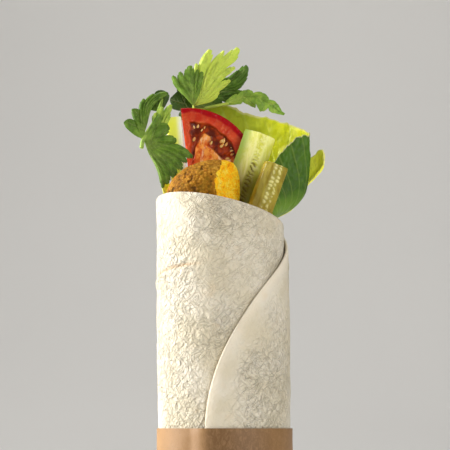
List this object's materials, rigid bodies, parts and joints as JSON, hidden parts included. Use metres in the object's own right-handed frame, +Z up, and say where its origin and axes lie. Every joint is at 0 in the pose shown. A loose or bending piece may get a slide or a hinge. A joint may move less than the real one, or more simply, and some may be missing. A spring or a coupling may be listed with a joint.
{
  "type": "falafel wrap",
  "caption": "Upright rolled flatbread in a plain kraft paper sleeve, open at the top over falafel, tomato, cucumber, pickle, lettuce and parsley.",
  "frame": {"origin": "on the flat base of the paper sleeve, under the axis of the roll", "axes": "+Z up along the roll, -Y towards the side shown in front, +X to the right seen from the front"},
  "size_m": [0.0919, 0.0623, 0.2372],
  "materials": {
    "kraft_paper": "uncoated brown kraft paper with fine fibres and soft creases",
    "flatbread": "pale soft wheat flatbread, matte, finely wrinkled and mottled",
    "mixed_filling": "moist chopped salad filling",
    "falafel": "rough golden-brown fried crust, crumbly orange-yellow where it is broken",
    "tomato": "wet ripe tomato with glossy skin and flesh",
    "cucumber": "moist pale green cucumber flesh with green skin",
    "pickle": "translucent olive-yellow pickled cucumber, wet",
    "lettuce": "thin lettuce leaf, satin, yellow-green inside and darker green outside",
    "parsley": "flat-leaf parsley, satin, veined, bright to dark green"
  },
  "bodies": {
    "root": {"paper_sleeve": "kraft_paper", "tortilla": "flatbread", "filling_core": "mixed_filling", "falafel": "falafel", "tomato_slice": "tomato", "cucumber_left": "cucumber", "cucumber_right": "cucumber", "pickle_spear": "pickle", "lettuce_main": "lettuce", "lettuce_outer": "lettuce", "lettuce_left": "lettuce", "parsley_top": "parsley", "parsley_left": "parsley"}
  },
  "joints": []
}
